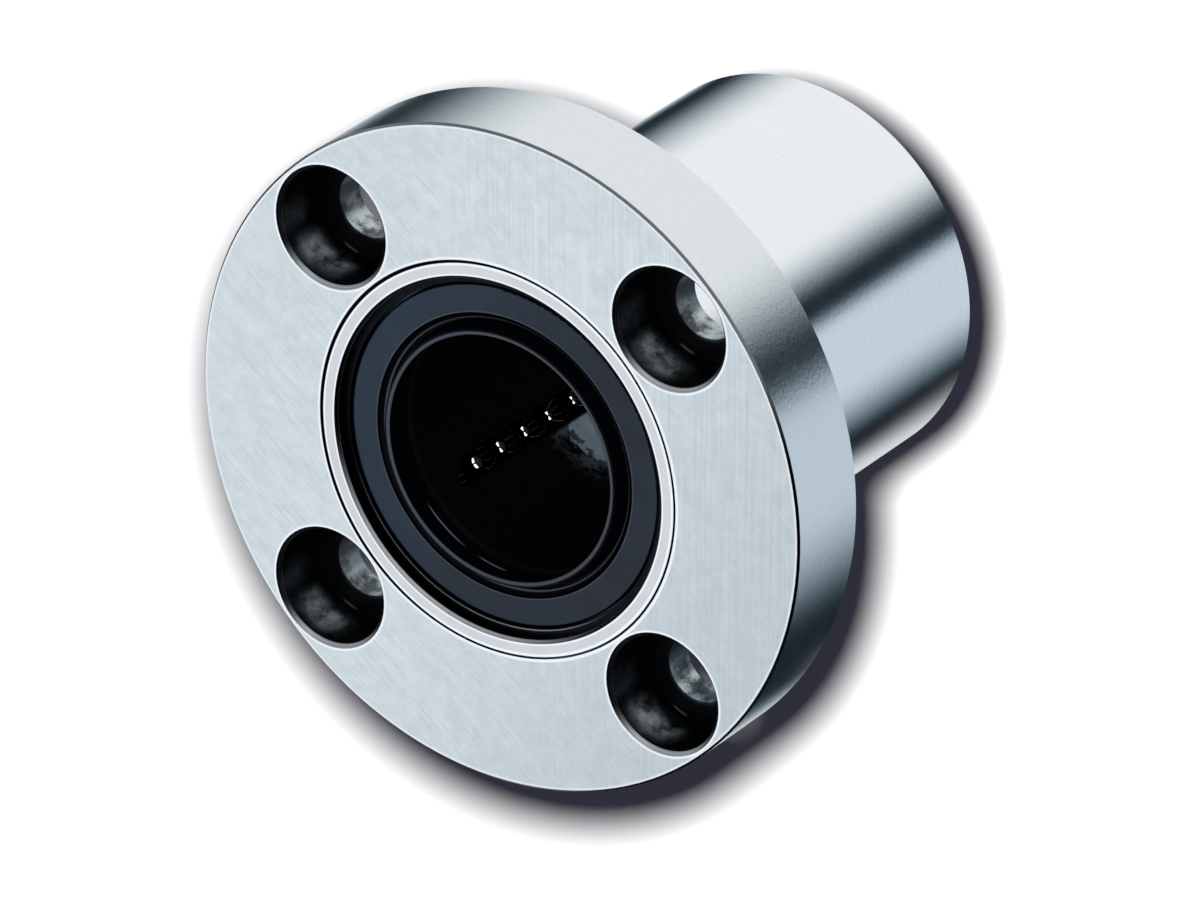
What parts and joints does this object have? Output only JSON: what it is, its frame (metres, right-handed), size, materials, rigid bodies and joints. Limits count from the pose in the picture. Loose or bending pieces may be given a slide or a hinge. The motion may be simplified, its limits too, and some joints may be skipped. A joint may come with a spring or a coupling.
{
  "type": "linear ball bushing",
  "caption": "Sealed linear ball bushing with a round flange and counterbored screw holes, whose balls recirculate as it runs along a round shaft.",
  "frame": {"origin": "centre of the tube's rear end face, at the bottom of the part as it stands", "axes": "+Z along the bearing axis, from the tube's rear end to the flange's face"},
  "size_m": [0.054, 0.054, 0.042],
  "materials": {
    "flange_steel": "ground satin",
    "sleeve_steel": "fine ground",
    "retainer_resin": "moulded black",
    "seal_rubber": "matte dark slate",
    "spring_steel": "black oxide",
    "ball_steel": "polished"
  },
  "bodies": {
    "bushing": {"flange": "flange_steel", "outer_sleeve": "sleeve_steel", "ball_retainer": "retainer_resin", "seal_front": "seal_rubber", "seal_rear": "seal_rubber", "retaining_ring_front": "spring_steel", "retaining_ring_rear": "spring_steel"},
    "loaded_row_1": {"loaded_row_1": "ball_steel"},
    "return_row_1": {"return_row_1": "ball_steel"},
    "front_turn_1": {"front_turn_1": "ball_steel"},
    "rear_turn_1": {"rear_turn_1": "ball_steel"},
    "loaded_row_2": {"loaded_row_2": "ball_steel"},
    "return_row_2": {"return_row_2": "ball_steel"},
    "front_turn_2": {"front_turn_2": "ball_steel"},
    "rear_turn_2": {"rear_turn_2": "ball_steel"},
    "loaded_row_3": {"loaded_row_3": "ball_steel"},
    "return_row_3": {"return_row_3": "ball_steel"},
    "front_turn_3": {"front_turn_3": "ball_steel"},
    "rear_turn_3": {"rear_turn_3": "ball_steel"},
    "loaded_row_4": {"loaded_row_4": "ball_steel"},
    "return_row_4": {"return_row_4": "ball_steel"},
    "front_turn_4": {"front_turn_4": "ball_steel"},
    "rear_turn_4": {"rear_turn_4": "ball_steel"},
    "loaded_row_5": {"loaded_row_5": "ball_steel"},
    "return_row_5": {"return_row_5": "ball_steel"},
    "front_turn_5": {"front_turn_5": "ball_steel"},
    "rear_turn_5": {"rear_turn_5": "ball_steel"}
  },
  "joints": [
    {"name": "loaded_row_1_travel", "type": "slide", "parent": "bushing", "child": "loaded_row_1", "axis": [0, 0, 1], "range_m": [-0.00168, 0.00168]},
    {"name": "return_row_1_travel", "type": "slide", "parent": "bushing", "child": "return_row_1", "axis": [0, 0, 1], "range_m": [-0.00168, 0.00168]},
    {"name": "front_turn_1_swing", "type": "hinge", "parent": "bushing", "child": "front_turn_1", "pos_m": [-0.0069, -0.00943, 0.03273], "axis": [0.6936, 0.6723, 0.2588], "range_deg": [-30, 30]},
    {"name": "rear_turn_1_swing", "type": "hinge", "parent": "bushing", "child": "rear_turn_1", "pos_m": [-0.0069, -0.00943, 0.00927], "axis": [0.6936, 0.6723, -0.2588], "range_deg": [-30, 30]},
    {"name": "loaded_row_2_travel", "type": "slide", "parent": "bushing", "child": "loaded_row_2", "axis": [0, 0, 1], "range_m": [-0.00168, 0.00168]},
    {"name": "return_row_2_travel", "type": "slide", "parent": "bushing", "child": "return_row_2", "axis": [0, 0, 1], "range_m": [-0.00168, 0.00168]},
    {"name": "front_turn_2_swing", "type": "hinge", "parent": "bushing", "child": "front_turn_2", "pos_m": [0.00684, -0.00948, 0.03273], "axis": [-0.425, 0.8674, 0.2588], "range_deg": [-30, 30]},
    {"name": "rear_turn_2_swing", "type": "hinge", "parent": "bushing", "child": "rear_turn_2", "pos_m": [0.00684, -0.00948, 0.00927], "axis": [-0.425, 0.8674, -0.2588], "range_deg": [-30, 30]},
    {"name": "loaded_row_3_travel", "type": "slide", "parent": "bushing", "child": "loaded_row_3", "axis": [0, 0, 1], "range_m": [-0.00168, 0.00168]},
    {"name": "return_row_3_travel", "type": "slide", "parent": "bushing", "child": "return_row_3", "axis": [0, 0, 1], "range_m": [-0.00168, 0.00168]},
    {"name": "front_turn_3_swing", "type": "hinge", "parent": "bushing", "child": "front_turn_3", "pos_m": [0.01113, 0.00357, 0.03273], "axis": [-0.9563, -0.1362, 0.2588], "range_deg": [-30, 30]},
    {"name": "rear_turn_3_swing", "type": "hinge", "parent": "bushing", "child": "rear_turn_3", "pos_m": [0.01113, 0.00357, 0.00927], "axis": [-0.9563, -0.1362, -0.2588], "range_deg": [-30, 30]},
    {"name": "loaded_row_4_travel", "type": "slide", "parent": "bushing", "child": "loaded_row_4", "axis": [0, 0, 1], "range_m": [-0.00168, 0.00168]},
    {"name": "return_row_4_travel", "type": "slide", "parent": "bushing", "child": "return_row_4", "axis": [0, 0, 1], "range_m": [-0.00168, 0.00168]},
    {"name": "front_turn_4_swing", "type": "hinge", "parent": "bushing", "child": "front_turn_4", "pos_m": [0.00004, 0.01169, 0.03273], "axis": [-0.166, -0.9516, 0.2588], "range_deg": [-30, 30]},
    {"name": "rear_turn_4_swing", "type": "hinge", "parent": "bushing", "child": "rear_turn_4", "pos_m": [0.00004, 0.01169, 0.00927], "axis": [-0.166, -0.9516, -0.2588], "range_deg": [-30, 30]},
    {"name": "loaded_row_5_travel", "type": "slide", "parent": "bushing", "child": "loaded_row_5", "axis": [0, 0, 1], "range_m": [-0.00168, 0.00168]},
    {"name": "return_row_5_travel", "type": "slide", "parent": "bushing", "child": "return_row_5", "axis": [0, 0, 1], "range_m": [-0.00168, 0.00168]},
    {"name": "front_turn_5_swing", "type": "hinge", "parent": "bushing", "child": "front_turn_5", "pos_m": [-0.0111, 0.00365, 0.03273], "axis": [0.8537, -0.4519, 0.2588], "range_deg": [-30, 30]},
    {"name": "rear_turn_5_swing", "type": "hinge", "parent": "bushing", "child": "rear_turn_5", "pos_m": [-0.0111, 0.00365, 0.00927], "axis": [0.8537, -0.4519, -0.2588], "range_deg": [-30, 30]}
  ],
  "couplings": [
    {"joint": "return_row_1_travel", "follows": "loaded_row_1_travel", "ratio": -1},
    {"joint": "front_turn_1_swing", "follows": "loaded_row_1_travel", "rad_per_m": 312.5},
    {"joint": "rear_turn_1_swing", "follows": "loaded_row_1_travel", "rad_per_m": 312.5},
    {"joint": "return_row_2_travel", "follows": "loaded_row_2_travel", "ratio": -1},
    {"joint": "front_turn_2_swing", "follows": "loaded_row_2_travel", "rad_per_m": 312.5},
    {"joint": "rear_turn_2_swing", "follows": "loaded_row_2_travel", "rad_per_m": 312.5},
    {"joint": "return_row_3_travel", "follows": "loaded_row_3_travel", "ratio": -1},
    {"joint": "front_turn_3_swing", "follows": "loaded_row_3_travel", "rad_per_m": 312.5},
    {"joint": "rear_turn_3_swing", "follows": "loaded_row_3_travel", "rad_per_m": 312.5},
    {"joint": "return_row_4_travel", "follows": "loaded_row_4_travel", "ratio": -1},
    {"joint": "front_turn_4_swing", "follows": "loaded_row_4_travel", "rad_per_m": 312.5},
    {"joint": "rear_turn_4_swing", "follows": "loaded_row_4_travel", "rad_per_m": 312.5},
    {"joint": "return_row_5_travel", "follows": "loaded_row_5_travel", "ratio": -1},
    {"joint": "front_turn_5_swing", "follows": "loaded_row_5_travel", "rad_per_m": 312.5},
    {"joint": "rear_turn_5_swing", "follows": "loaded_row_5_travel", "rad_per_m": 312.5}
  ]
}
